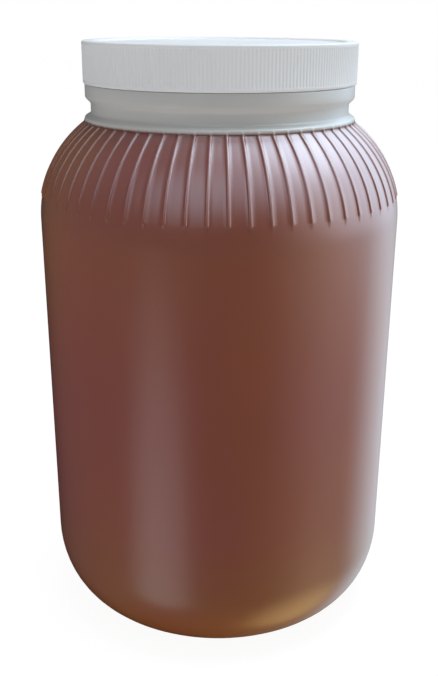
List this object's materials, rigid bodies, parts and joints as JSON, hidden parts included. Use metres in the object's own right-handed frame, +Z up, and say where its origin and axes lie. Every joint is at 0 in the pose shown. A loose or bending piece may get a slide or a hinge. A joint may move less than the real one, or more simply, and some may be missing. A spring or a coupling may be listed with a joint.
{
  "type": "plastic jar",
  "caption": "Wide-mouth plastic jar of honey: straight round body, ribbed shoulder, short beaded neck and a white screw lid with a fine vertical grip.",
  "frame": {"origin": "centre of the flat ring under the jar's base, on the surface that the jar stands on", "axes": "+Z up along the jar's axis towards the lid; X and Y are equal"},
  "size_m": [0.1534, 0.1534, 0.2507],
  "materials": {
    "jar_plastic": "satin",
    "lid_plastic": "satin",
    "honey": "gloss"
  },
  "bodies": {
    "root": {"jar": "jar_plastic", "lid": "lid_plastic", "honey": "honey"}
  },
  "joints": []
}
